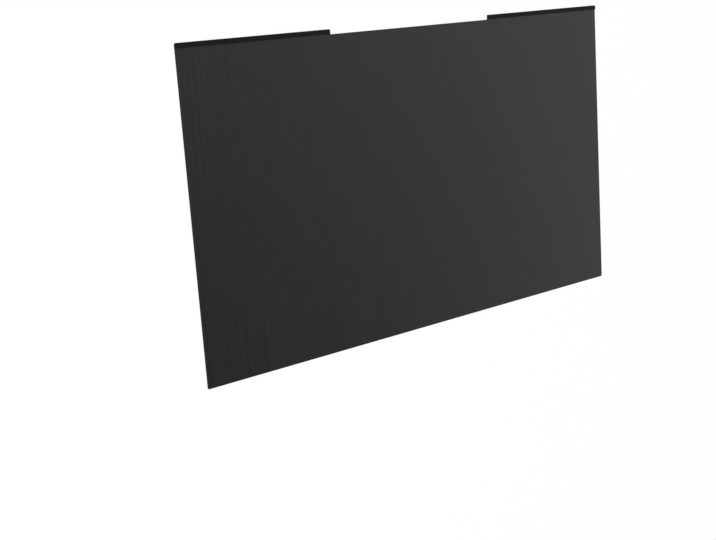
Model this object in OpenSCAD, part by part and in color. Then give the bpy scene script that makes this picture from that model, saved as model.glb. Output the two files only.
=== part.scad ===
// Privacy filter for a desktop monitor: one flat sheet of dark louvre film with two low tabs on
// its top edge, and a slim black magnetic strip on the front of each tab. The long shallow gap
// between the tabs clears the monitor's camera.
//
// The sheet is drawn lying on its back, as it comes to rest on a table. X runs along its width,
// Y from its bottom edge towards the strips, and Z out of its front face. The origin is under the
// middle of the sheet, on the face that it lies on. All sizes are in millimetres.

/* [Film] */
// Width of the film, which covers the picture of a 23 inch 16:9 display
film_w = 510; // [300:1:700]
// Height of the film from its bottom edge to the floor of the camera gap
film_h = 287; // [170:1:400]
// Thickness of the laminated film
film_t = 0.55; // [0.4:0.05:1]
// Radius of the four outer corners
corner_r = 1.5; // [0.6:0.1:4]

/* [Tabs] */
// Height of the two tabs above the floor of the camera gap
tab_h = 4.5; // [4:0.1:12]
// Length of each tab, as a share of the film's width
tab_share = 0.31; // [0.15:0.01:0.4]
// Radius of the corners at the two ends of the camera gap
gap_r = 1; // [0.6:0.1:1.5]

/* [Magnetic strips] */
// Thickness of a strip, which stands out in front of the film
strip_t = 1.2; // [0.8:0.1:3]
// Width of the bare film left all round a strip
strip_inset = 0.2; // [0.1:0.05:0.5]
// Radius along a strip's two long front edges
strip_edge_r = 0.3; // [0.1:0.05:0.4]

/* [Hidden] */
$fn = 48;

// Y of the bottom edge and of the gap's floor, with the origin under the middle of the sheet
bottom_y = -(film_h + tab_h) / 2;
gap_floor_y = bottom_y + film_h;

// Length of one tab, and the outline size of the strip on it
tab_l = film_w * tab_share;
strip_l = tab_l - 2 * strip_inset;
strip_h = tab_h - 2 * strip_inset;

// A rectangle from the origin into +X and +Y, with a radius of its own at each corner:
// [bottom left, bottom right, top right, top left], and 0 for a sharp one
module rounded_rectangle(w, h, radii) {
    corners = [[0, 0], [w, 0], [w, h], [0, h]];
    difference() {
        square([w, h]);
        for (i = [0:3])
            if (radii[i] > 0)
                translate(corners[i]) rotate(90 * i) corner_web(radii[i]);
    }
}

// The web between a radius and the square corner at the origin, whose sides run along +X and
// +Y. It comes off an outside corner and fills an inside one.
module corner_web(r) {
    difference() {
        square(r);
        translate([r, r]) circle(r);
    }
}

// Outline of the left tab, standing on the floor of the gap, with its left edge at X = 0 and the
// web that rounds the corner between its end and that floor
module tab_outline() {
    rounded_rectangle(tab_l, tab_h, [0, 0, gap_r, corner_r]);
    translate([tab_l, 0]) corner_web(gap_r);
}

// Outline of the whole film: the part below the gap's floor, and the two tabs above it
module film_outline() {
    translate([-film_w / 2, bottom_y])
        rounded_rectangle(film_w, film_h, [corner_r, corner_r, 0, 0]);
    for (side = [0, 1])
        mirror([side, 0])
            translate([-film_w / 2, gap_floor_y]) tab_outline();
}

// The film, die-cut in one piece from laminated sheet
module filter_film() {
    color("#303134")
        linear_extrude(film_t) film_outline();
}

// Outline of the left strip, whose upper corners follow those of its tab
module strip_outline() {
    translate([strip_inset, strip_inset])
        rounded_rectangle(strip_l, strip_h, [0, 0, gap_r - strip_inset, corner_r - strip_inset]);
}

// Cross-section of the left strip, with its height along X and its thickness along Y: flat where
// it is stuck down, and rounded along its two front edges
module strip_section() {
    translate([strip_inset, 0])
        rounded_rectangle(strip_h, strip_t, [0, 0, strip_edge_r, strip_edge_r]);
}

// The left strip on the front of its tab: a length of the section, cut to the outline
module magnet_strip_left() {
    color("#0b0b0c")
        translate([-film_w / 2, gap_floor_y, film_t])
            intersection() {
                linear_extrude(strip_t) strip_outline();
                rotate([90, 0, 90]) linear_extrude(tab_l) strip_section();
            }
}

// The right strip, which mirrors the left one
module magnet_strip_right() {
    mirror([1, 0, 0]) magnet_strip_left();
}

filter_film();
magnet_strip_left();
magnet_strip_right();
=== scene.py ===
"""Models the film and the two magnetic strips of a monitor privacy filter over their CAD frame,
gives them their finishes and lays them out on a plain white studio floor.

The filter lies on its back. X runs along its width, Y from its bottom edge to its strips, and Z
out of its front face, in metres.
"""

import math

import bmesh
import bpy
from mathutils import Matrix, Vector


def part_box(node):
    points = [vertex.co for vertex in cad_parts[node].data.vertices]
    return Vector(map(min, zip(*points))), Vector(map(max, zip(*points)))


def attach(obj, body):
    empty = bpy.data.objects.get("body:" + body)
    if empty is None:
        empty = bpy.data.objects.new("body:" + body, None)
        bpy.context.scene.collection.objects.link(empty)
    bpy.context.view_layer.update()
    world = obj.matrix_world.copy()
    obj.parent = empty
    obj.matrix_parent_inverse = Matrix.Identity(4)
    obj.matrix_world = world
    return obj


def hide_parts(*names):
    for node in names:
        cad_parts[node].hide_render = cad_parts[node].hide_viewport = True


bl_info = {
    "name": "Monitor privacy filter",
    "version": (1, 0, 0),
    "blender": (4, 5, 0),
    "location": "View3D > Sidebar > Privacy Filter",
    "description": "Models and lights the film and the magnetic strips of a privacy filter",
    "category": "Object",
}

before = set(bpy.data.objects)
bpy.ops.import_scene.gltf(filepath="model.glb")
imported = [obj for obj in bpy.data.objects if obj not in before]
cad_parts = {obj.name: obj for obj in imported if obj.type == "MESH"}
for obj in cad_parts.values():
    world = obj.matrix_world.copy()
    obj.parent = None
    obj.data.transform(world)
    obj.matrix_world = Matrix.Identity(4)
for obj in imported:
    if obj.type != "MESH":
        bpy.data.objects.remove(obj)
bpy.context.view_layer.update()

MM = 0.001
BODY = "root"

# A corner arc is made of this many straight steps, and a rounded rim of this many
ARC_STEPS = 12
RIM_STEPS = 3
# A rim's edges lie this close to its height, and their faces meet more sharply than this
RIM_CLOSE = 1e-7
RIM_ANGLE = math.radians(45)
# Edges sharper than this stay crisp, so that a rim doesn't bend the light on the flat face
SHARP_ANGLE = math.radians(10)

# Film and rubber both bend light about as most plastics do
PLASTIC_IOR = 1.5
# The broadest streaks are about three times as long as the film is high, so that they run from
# end to end, and the finer ones are shorter
STREAK_LENGTH = 900 * MM
# The values of the streaks' noise that give the darkest and the palest film
STREAK_RANGE = (0.4, 0.6)
# Roughness of the film along its darkest and its palest streaks
FILM_ROUGHNESS = (0.33, 0.39)
# Depth of the grain in the film's matt coating
COATING_DEPTH = 0.03 * MM
# The film has its cut edge's colour where its normal's Z is no more than the first of these, up
# or down, and its face's colour from the second
FACE_RANGE = (0.3, 0.9)
# The values of the grain's noise that give plain rubber and a full grain
GRAIN_RANGE = (0.5, 0.75)
# The values of the rolled lines' noise that give the rubber's least and greatest roughness
LINE_RANGE = (0.3, 0.7)
RUBBER_ROUGHNESS = (0.46, 0.58)
# How far a rolled line runs along its strip, and how deep it is
LINE_LENGTH = 40 * MM
LINE_DEPTH = 0.012 * MM
# The rubber's shine, which is 0.5 on plain plastic
RUBBER_SHINE = 0.12

WHITE = (1.0, 1.0, 1.0, 1.0)
# The studio is nowhere darker or brighter than this, where 1 is white
ROOM_DARK = 0.05
ROOM_WHITE = 1.0
# Colour of the floor's matt share, which takes the filter's shadow
FLOOR_MATT = (0.97, 0.97, 0.97, 1.0)
# This share of the floor is plain white as far from the middle of the filter as SHADOW_REACH,
# and all of it past SHADOW_END, where it takes no shadow
PLAIN_SHARE = 0.85
SHADOW_REACH = 0.6
SHADOW_END = 3 * SHADOW_REACH
# The floor lies this far under the filter, so that the two don't touch
FLOOR_DROP = 0.02 * MM

# Width of the camera's sensor in millimetres, and the nearest and furthest that it sees in metres
SENSOR_WIDTH = 36.0
CLIP_RANGE = (0.05, 60.0)


class FilmSettings(bpy.types.PropertyGroup):
    """Sizes and colours of the film."""

    corner_radius: bpy.props.FloatProperty(
        name="Corner radius",
        description="Radius of the film's four outer corners",
        default=1.5 * MM,
        min=0.0,
        unit="LENGTH",
    )
    gap_radius: bpy.props.FloatProperty(
        name="Gap radius",
        description="Radius of the corners at the two ends of the camera gap",
        default=1.0 * MM,
        min=0.0,
        unit="LENGTH",
    )
    edge_break: bpy.props.FloatProperty(
        name="Edge break",
        description="Width of the soft rim that the cutting die leaves round both faces",
        default=0.08 * MM,
        min=0.0,
        unit="LENGTH",
    )
    streak_width: bpy.props.FloatProperty(
        name="Streak width",
        description="Width of the broadest of the upright streaks that the louvres leave",
        default=1.6 * MM,
        min=0.1 * MM,
        unit="LENGTH",
    )
    coating_grain: bpy.props.FloatProperty(
        name="Coating grain",
        description="Length of the grains of the matt anti-glare coating",
        default=0.3 * MM,
        min=0.05 * MM,
        unit="LENGTH",
    )
    face_colour: bpy.props.FloatVectorProperty(
        name="Face colour",
        description="Colour of the louvre film as it looks from the side",
        subtype="COLOR",
        size=4,
        default=(0.0062, 0.0062, 0.0064, 1.0),
    )
    streak_colour: bpy.props.FloatVectorProperty(
        name="Streak colour",
        description="Colour of the film along its palest streaks",
        subtype="COLOR",
        size=4,
        default=(0.0098, 0.0098, 0.0101, 1.0),
    )
    edge_colour: bpy.props.FloatVectorProperty(
        name="Edge colour",
        description="Colour of the cut edge, where the clear layers show",
        subtype="COLOR",
        size=4,
        default=(0.018, 0.018, 0.019, 1.0),
    )


class StripSettings(bpy.types.PropertyGroup):
    """Sizes and colours of the two magnetic strips."""

    inset: bpy.props.FloatProperty(
        name="Inset",
        description="Width of the bare film left all round a strip",
        default=0.2 * MM,
        min=0.0,
        unit="LENGTH",
    )
    rim_radius: bpy.props.FloatProperty(
        name="Rim radius",
        description="Radius of the rim round a strip's front face",
        default=0.3 * MM,
        min=0.0,
        unit="LENGTH",
    )
    line_width: bpy.props.FloatProperty(
        name="Line width",
        description="Width of the fine lines that rolling leaves along the strips",
        default=0.22 * MM,
        min=0.05 * MM,
        unit="LENGTH",
    )
    ferrite_grain: bpy.props.FloatProperty(
        name="Ferrite grain",
        description="Length of the ferrite grains in the rubber",
        default=0.25 * MM,
        min=0.05 * MM,
        unit="LENGTH",
    )
    rubber_colour: bpy.props.FloatVectorProperty(
        name="Rubber colour",
        description="Colour of the magnetic rubber",
        subtype="COLOR",
        size=4,
        default=(0.0050, 0.0050, 0.0052, 1.0),
    )
    grain_colour: bpy.props.FloatVectorProperty(
        name="Grain colour",
        description="Colour of the ferrite grains in the rubber",
        subtype="COLOR",
        size=4,
        default=(0.0105, 0.0102, 0.0100, 1.0),
    )


class StudioSettings(bpy.types.PropertyGroup):
    """The camera, the floor and the lights."""

    camera_place: bpy.props.FloatVectorProperty(
        name="Camera place",
        description="Where the camera stands, from the middle of the film's rear face",
        subtype="TRANSLATION",
        size=3,
        default=(-0.7754, 0.1735, 0.8826),
    )
    camera_target: bpy.props.FloatVectorProperty(
        name="Camera target",
        description="The place on the film that the middle of the picture shows",
        subtype="TRANSLATION",
        size=3,
        default=(-0.0841, -0.0739, 0.0006),
    )
    camera_roll: bpy.props.FloatProperty(
        name="Camera roll",
        description="Turn of the camera about its own axis, away from the film's Y upright",
        subtype="ANGLE",
        default=math.radians(4.01),
    )
    lens: bpy.props.FloatProperty(
        name="Lens",
        description="Focal length of the camera, on a sensor 36 mm wide",
        unit="CAMERA",
        default=62.56,
    )
    floor_side: bpy.props.FloatProperty(
        name="Floor side",
        description="Length of each side of the square floor",
        default=16.0,
        unit="LENGTH",
    )
    key_power: bpy.props.FloatProperty(
        name="Key power",
        description="Power of the large soft light overhead",
        default=115.0,
        unit="POWER",
    )
    key_place: bpy.props.FloatVectorProperty(
        name="Key place",
        description="Where the large soft light hangs, from the middle of the film's rear face",
        subtype="TRANSLATION",
        size=3,
        default=(-2.0, 0.5, 4.5),
    )
    key_size: bpy.props.FloatVectorProperty(
        name="Key size",
        description="Width and height of the large soft light",
        size=2,
        default=(2.6, 2.0),
        unit="LENGTH",
    )
    ceiling: bpy.props.FloatProperty(
        name="Ceiling",
        description="Brightness of the studio straight above the filter, where 1 is white",
        default=0.05,
        min=0.0,
    )
    wall_rise: bpy.props.FloatProperty(
        name="Wall rise",
        description="How steeply the studio grows brighter from its ceiling down to its walls",
        default=3.0,
        min=0.0,
    )
    head_rise: bpy.props.FloatProperty(
        name="Head rise",
        description="How steeply it grows brighter towards the wall past the filter's strips",
        default=1.9,
        min=0.0,
    )


def settings(name):
    """The scene's settings for one part of the work: film, strips or studio."""
    return getattr(bpy.context.scene, "privacy_" + name)


def empty_tree(owner):
    """The node tree of a new material or world, with nothing in it."""
    owner.use_nodes = True
    owner.node_tree.nodes.clear()
    return owner.node_tree


def start_shader(name):
    """A new material with one Principled shader, which the caller gives its values."""
    material = bpy.data.materials.new(name)
    tree = empty_tree(material)
    shader = tree.nodes.new("ShaderNodeBsdfPrincipled")
    output = tree.nodes.new("ShaderNodeOutputMaterial")
    tree.links.new(shader.outputs["BSDF"], output.inputs["Surface"])
    return material, tree, shader


def object_noise(tree, grain, detail=2.0):
    """Noise on Object coordinates, whose grains are about `grain` metres long in X, Y and Z."""
    coordinates = tree.nodes.new("ShaderNodeTexCoord")
    mapping = tree.nodes.new("ShaderNodeMapping")
    mapping.inputs["Scale"].default_value = [1.0 / length for length in grain]
    noise = tree.nodes.new("ShaderNodeTexNoise")
    noise.inputs["Scale"].default_value = 1.0
    noise.inputs["Detail"].default_value = detail
    tree.links.new(coordinates.outputs["Object"], mapping.inputs["Vector"])
    tree.links.new(mapping.outputs["Vector"], noise.inputs["Vector"])
    return noise.outputs["Fac"]


def spread(tree, factor, low, high, to_low=0.0, to_high=1.0):
    """Spreads `factor` from the range low to high over the range to_low to to_high."""
    node = tree.nodes.new("ShaderNodeMapRange")
    node.inputs["From Min"].default_value = low
    node.inputs["From Max"].default_value = high
    node.inputs["To Min"].default_value = to_low
    node.inputs["To Max"].default_value = to_high
    tree.links.new(factor, node.inputs["Value"])
    return node.outputs["Result"]


def mix_colours(tree, factor, first, second):
    """A colour between `first` and `second`, each of them a colour or a node's output."""
    node = tree.nodes.new("ShaderNodeMix")
    node.data_type = "RGBA"
    tree.links.new(factor, node.inputs["Factor"])
    sockets = [socket for socket in node.inputs if socket.type == "RGBA"]
    for socket, colour in zip(sockets, (first, second)):
        if isinstance(colour, bpy.types.NodeSocket):
            tree.links.new(colour, socket)
        else:
            socket.default_value = colour
    return next(socket for socket in node.outputs if socket.type == "RGBA")


def add_bump(tree, shader, height, depth):
    """Gives the shader a bump of `depth` metres from `height`."""
    bump = tree.nodes.new("ShaderNodeBump")
    bump.inputs["Strength"].default_value = 1.0
    bump.inputs["Distance"].default_value = depth
    tree.links.new(height, bump.inputs["Height"])
    tree.links.new(bump.outputs["Normal"], shader.inputs["Normal"])


def facing_up(tree):
    """1 on the film's front and rear faces, and 0 on its cut edge, from the object's normal."""
    coordinates = tree.nodes.new("ShaderNodeTexCoord")
    parts = tree.nodes.new("ShaderNodeSeparateXYZ")
    size = tree.nodes.new("ShaderNodeMath")
    size.operation = "ABSOLUTE"
    tree.links.new(coordinates.outputs["Normal"], parts.inputs["Vector"])
    tree.links.new(parts.outputs["Z"], size.inputs[0])
    return spread(tree, size.outputs["Value"], *FACE_RANGE)


def film_material(film):
    """Matt anti-glare film over black louvres, whose upright streaks show faintly in its colour
    and its gloss, with a slightly clearer cut edge."""
    material, tree, shader = start_shader("louvre_film")
    streak = (film.streak_width, STREAK_LENGTH, STREAK_LENGTH)
    pale = spread(tree, object_noise(tree, streak, detail=5.0), *STREAK_RANGE)
    face = mix_colours(tree, pale, film.face_colour, film.streak_colour)
    colour = mix_colours(tree, facing_up(tree), film.edge_colour, face)
    tree.links.new(colour, shader.inputs["Base Color"])
    roughness = spread(tree, pale, 0.0, 1.0, *FILM_ROUGHNESS)
    tree.links.new(roughness, shader.inputs["Roughness"])
    shader.inputs["IOR"].default_value = PLASTIC_IOR
    coating = object_noise(tree, [film.coating_grain] * 3, detail=3.0)
    add_bump(tree, shader, coating, COATING_DEPTH)
    return material


def rubber_material(strips):
    """Black magnetic rubber: a dull face with fine rolled lines and a trace of ferrite grain."""
    material, tree, shader = start_shader("magnet_rubber")
    grain = object_noise(tree, [strips.ferrite_grain] * 3, detail=3.0)
    pale = spread(tree, grain, *GRAIN_RANGE)
    colour = mix_colours(tree, pale, strips.rubber_colour, strips.grain_colour)
    tree.links.new(colour, shader.inputs["Base Color"])
    lines = object_noise(tree, (LINE_LENGTH, strips.line_width, strips.line_width))
    roughness = spread(tree, lines, *LINE_RANGE, *RUBBER_ROUGHNESS)
    tree.links.new(roughness, shader.inputs["Roughness"])
    shader.inputs["IOR"].default_value = PLASTIC_IOR
    shader.inputs["Specular IOR Level"].default_value = RUBBER_SHINE
    add_bump(tree, shader, lines, LINE_DEPTH)
    return material


def add_plate(shape, corners, low, high):
    """Adds a plate between the heights low and high. Each corner is its x, its y and its radius,
    and they go anticlockwise."""
    verts = [shape.verts.new((x, y, low)) for x, y, radius in corners]
    shape.faces.new(verts)
    for vert, (x, y, radius) in zip(verts, corners):
        if radius > 0.0:
            bmesh.ops.bevel(
                shape,
                geom=[vert],
                offset=radius,
                offset_type="OFFSET",
                segments=ARC_STEPS,
                profile=0.5,
                affect="VERTICES",
                material=-1,
            )
    base = shape.faces[:]
    raised = bmesh.ops.extrude_face_region(shape, geom=base)["geom"]
    top = [item for item in raised if isinstance(item, bmesh.types.BMVert)]
    bmesh.ops.translate(shape, verts=top, vec=(0.0, 0.0, high - low))
    bmesh.ops.recalc_face_normals(shape, faces=shape.faces[:])


def round_rim(shape, height, radius):
    """Rounds the plate's rim at that height."""
    rim = [
        edge
        for edge in shape.edges
        if all(abs(vert.co.z - height) < RIM_CLOSE for vert in edge.verts)
        and abs(edge.calc_face_angle(0.0)) > RIM_ANGLE
    ]
    bmesh.ops.bevel(
        shape,
        geom=rim,
        offset=radius,
        offset_type="OFFSET",
        segments=RIM_STEPS,
        profile=0.5,
        affect="EDGES",
        material=-1,
    )


def put_in_order(shape):
    """Sorts the shape's vertices by place, and its edges and faces by their vertices, because
    the operators above add them in an order that can change from run to run."""
    for parts, place in (
        (shape.verts, lambda vert: vert.co.to_tuple()),
        (shape.edges, lambda edge: sorted(vert.index for vert in edge.verts)),
        (shape.faces, lambda face: sorted(vert.index for vert in face.verts)),
    ):
        for index, part in enumerate(sorted(parts, key=place)):
            part.index = index
        parts.sort()


def finish_piece(shape, name, material, node):
    """Makes the shape a piece that stands for its CAD node, with that finish."""
    put_in_order(shape)
    mesh = bpy.data.meshes.new(name)
    shape.to_mesh(mesh)
    shape.free()
    mesh.shade_smooth()
    mesh.set_sharp_from_angle(angle=SHARP_ANGLE)
    mesh.materials.append(material)
    piece = bpy.data.objects.new(name, mesh)
    bpy.context.scene.collection.objects.link(piece)
    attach(piece, BODY)
    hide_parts(node)


def film_corners(film, inset):
    """The corners of the film's outline, worked out from its own box and the strips on its tabs."""
    low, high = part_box("filter_film")
    tab_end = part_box("magnet_strip_left")[1].x + inset
    other_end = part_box("magnet_strip_right")[0].x - inset
    gap_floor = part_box("magnet_strip_left")[0].y - inset
    outer = film.corner_radius
    inner = film.gap_radius
    return [
        (low.x, low.y, outer),
        (high.x, low.y, outer),
        (high.x, high.y, outer),
        (other_end, high.y, inner),
        (other_end, gap_floor, inner),
        (tab_end, gap_floor, inner),
        (tab_end, high.y, inner),
        (low.x, high.y, outer),
    ]


class PRIVACY_OT_film(bpy.types.Operator):
    """Models the film, with its tabs and its camera gap"""

    bl_idname = "privacy.film"
    bl_label = "Film"

    def execute(self, context):
        film = settings("film")
        low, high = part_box("filter_film")
        shape = bmesh.new()
        add_plate(shape, film_corners(film, settings("strips").inset), low.z, high.z)
        for height in (low.z, high.z):
            round_rim(shape, height, film.edge_break)
        finish_piece(shape, "film_sheet", film_material(film), "filter_film")
        return {"FINISHED"}


class PRIVACY_OT_strips(bpy.types.Operator):
    """Models the two magnetic strips on the film's tabs"""

    bl_idname = "privacy.strips"
    bl_label = "Magnetic strips"

    def execute(self, context):
        film = settings("film")
        strips = settings("strips")
        outer = film.corner_radius - strips.inset
        inner = film.gap_radius - strips.inset
        rubber = rubber_material(strips)
        for side, left_radius, right_radius in (("left", outer, inner), ("right", inner, outer)):
            node = "magnet_strip_" + side
            low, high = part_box(node)
            corners = [
                (low.x, low.y, 0.0),
                (high.x, low.y, 0.0),
                (high.x, high.y, right_radius),
                (low.x, high.y, left_radius),
            ]
            shape = bmesh.new()
            add_plate(shape, corners, low.z, high.z)
            round_rim(shape, high.z, strips.rim_radius)
            finish_piece(shape, "magnet_bar_" + side, rubber, node)
        return {"FINISHED"}


def floor_material():
    """White floor that shows as plain white. Near the filter a share of it is matt, which takes
    the filter's shadow."""
    material = bpy.data.materials.new("studio_floor")
    tree = empty_tree(material)
    matt = tree.nodes.new("ShaderNodeBsdfDiffuse")
    matt.inputs["Color"].default_value = FLOOR_MATT
    glow = tree.nodes.new("ShaderNodeEmission")
    glow.inputs["Color"].default_value = WHITE
    glow.inputs["Strength"].default_value = 1.0
    place = tree.nodes.new("ShaderNodeTexCoord")
    distance = tree.nodes.new("ShaderNodeVectorMath")
    distance.operation = "LENGTH"
    tree.links.new(place.outputs["Object"], distance.inputs[0])
    share = tree.nodes.new("ShaderNodeMath")
    share.operation = "MULTIPLY"
    mix = tree.nodes.new("ShaderNodeMixShader")
    output = tree.nodes.new("ShaderNodeOutputMaterial")
    plain = spread(tree, distance.outputs["Value"], SHADOW_REACH, SHADOW_END, PLAIN_SHARE, 1.0)
    tree.links.new(seen_rays(tree), share.inputs[0])
    tree.links.new(plain, share.inputs[1])
    tree.links.new(share.outputs["Value"], mix.inputs["Fac"])
    tree.links.new(matt.outputs["BSDF"], mix.inputs[1])
    tree.links.new(glow.outputs["Emission"], mix.inputs[2])
    tree.links.new(mix.outputs["Shader"], output.inputs["Surface"])
    return material


def seen_rays(tree):
    """1 for the rays that show the background: the camera's, and what gloss and glass mirror."""
    path = tree.nodes.new("ShaderNodeLightPath")
    total = path.outputs["Is Camera Ray"]
    for name in ("Is Glossy Ray", "Is Transmission Ray"):
        larger = tree.nodes.new("ShaderNodeMath")
        larger.operation = "MAXIMUM"
        tree.links.new(total, larger.inputs[0])
        tree.links.new(path.outputs[name], larger.inputs[1])
        total = larger.outputs["Value"]
    return total


def add_floor(side):
    """A white floor just under the filter."""
    shape = bmesh.new()
    bmesh.ops.create_grid(shape, x_segments=1, y_segments=1, size=side / 2)
    bmesh.ops.translate(shape, verts=shape.verts[:], vec=(0.0, 0.0, -FLOOR_DROP))
    mesh = bpy.data.meshes.new("floor")
    shape.to_mesh(mesh)
    shape.free()
    mesh.materials.append(floor_material())
    floor = bpy.data.objects.new("floor", mesh)
    bpy.context.scene.collection.objects.link(floor)


def add_key(studio):
    """The soft rectangular light that faces the filter."""
    light = bpy.data.lights.new("key", "AREA")
    light.shape = "RECTANGLE"
    light.size, light.size_y = studio.key_size
    light.energy = studio.key_power
    lamp = bpy.data.objects.new("key", light)
    lamp.location = studio.key_place
    lamp.rotation_mode = "QUATERNION"
    lamp.rotation_quaternion = (-lamp.location).to_track_quat("-Z", "Y")
    lamp.visible_camera = False
    bpy.context.scene.collection.objects.link(lamp)


def set_world(studio):
    """A dim ceiling that rises to white walls, brightest past the filter's strips. The film's face
    mirrors it softly, and the camera sees plain white."""
    world = bpy.data.worlds.new("studio")
    bpy.context.scene.world = world
    tree = empty_tree(world)
    direction = tree.nodes.new("ShaderNodeTexCoord")
    rise = tree.nodes.new("ShaderNodeVectorMath")
    rise.operation = "DOT_PRODUCT"
    rise.inputs[1].default_value = (0.0, studio.head_rise, -studio.wall_rise)
    tree.links.new(direction.outputs["Generated"], rise.inputs[0])
    overhead = studio.ceiling + studio.wall_rise
    brightness = spread(
        tree,
        rise.outputs["Value"],
        ROOM_DARK - overhead,
        ROOM_WHITE - overhead,
        ROOM_DARK,
        ROOM_WHITE,
    )
    room = tree.nodes.new("ShaderNodeBackground")
    room.inputs["Color"].default_value = WHITE
    tree.links.new(brightness, room.inputs["Strength"])
    white = tree.nodes.new("ShaderNodeBackground")
    white.inputs["Color"].default_value = WHITE
    path = tree.nodes.new("ShaderNodeLightPath")
    mix = tree.nodes.new("ShaderNodeMixShader")
    output = tree.nodes.new("ShaderNodeOutputWorld")
    tree.links.new(path.outputs["Is Camera Ray"], mix.inputs["Fac"])
    tree.links.new(room.outputs["Background"], mix.inputs[1])
    tree.links.new(white.outputs["Background"], mix.inputs[2])
    tree.links.new(mix.outputs["Shader"], output.inputs["Surface"])


def add_camera(studio):
    """The camera, aimed at its target with the film's Y upright, and then rolled."""
    data = bpy.data.cameras.new("camera")
    data.sensor_width = SENSOR_WIDTH
    data.lens = studio.lens
    data.clip_start, data.clip_end = CLIP_RANGE
    place = Vector(studio.camera_place)
    ahead = (Vector(studio.camera_target) - place).normalized()
    right = ahead.cross(Vector((0.0, 1.0, 0.0))).normalized()
    upright = right.cross(ahead)
    turn = Matrix((right, upright, -ahead)).transposed() @ Matrix.Rotation(
        -studio.camera_roll, 3, "Z"
    )
    camera = bpy.data.objects.new("camera", data)
    camera.matrix_world = Matrix.Translation(place) @ turn.to_4x4()
    bpy.context.scene.collection.objects.link(camera)
    bpy.context.scene.camera = camera


class PRIVACY_OT_studio(bpy.types.Operator):
    """Sets up the floor, the lights, the world and the camera"""

    bl_idname = "privacy.studio"
    bl_label = "Studio"

    def execute(self, context):
        studio = settings("studio")
        add_camera(studio)
        add_floor(studio.floor_side)
        add_key(studio)
        set_world(studio)
        context.scene.view_settings.view_transform = "Standard"
        return {"FINISHED"}


class PRIVACY_PT_panel(bpy.types.Panel):
    """Lists the steps of the model"""

    bl_idname = "PRIVACY_PT_panel"
    bl_label = "Privacy Filter"
    bl_space_type = "VIEW_3D"
    bl_region_type = "UI"
    bl_category = "Privacy Filter"

    def draw(self, context):
        for name in SETTINGS:
            box = self.layout.box()
            group = settings(name)
            for prop in group.bl_rna.properties:
                if prop.identifier not in ("name", "rna_type"):
                    box.prop(group, prop.identifier)
            box.operator("privacy." + name)


# Each group of settings, under the name that its operator has too
SETTINGS = {"film": FilmSettings, "strips": StripSettings, "studio": StudioSettings}
CLASSES = (
    *SETTINGS.values(),
    PRIVACY_OT_film,
    PRIVACY_OT_strips,
    PRIVACY_OT_studio,
    PRIVACY_PT_panel,
)


def register():
    """Makes the operators and the panel known to Blender, and gives the scene its settings."""
    for cls in CLASSES:
        bpy.utils.register_class(cls)
    for name, group in SETTINGS.items():
        setattr(bpy.types.Scene, "privacy_" + name, bpy.props.PointerProperty(type=group))


def unregister():
    """Undoes what register did, in the opposite order."""
    for name in SETTINGS:
        delattr(bpy.types.Scene, "privacy_" + name)
    for cls in reversed(CLASSES):
        bpy.utils.unregister_class(cls)


def main():
    """Makes the whole scene."""
    register()
    bpy.ops.privacy.studio()
    bpy.ops.privacy.film()
    bpy.ops.privacy.strips()


if __name__ == "__main__":
    main()
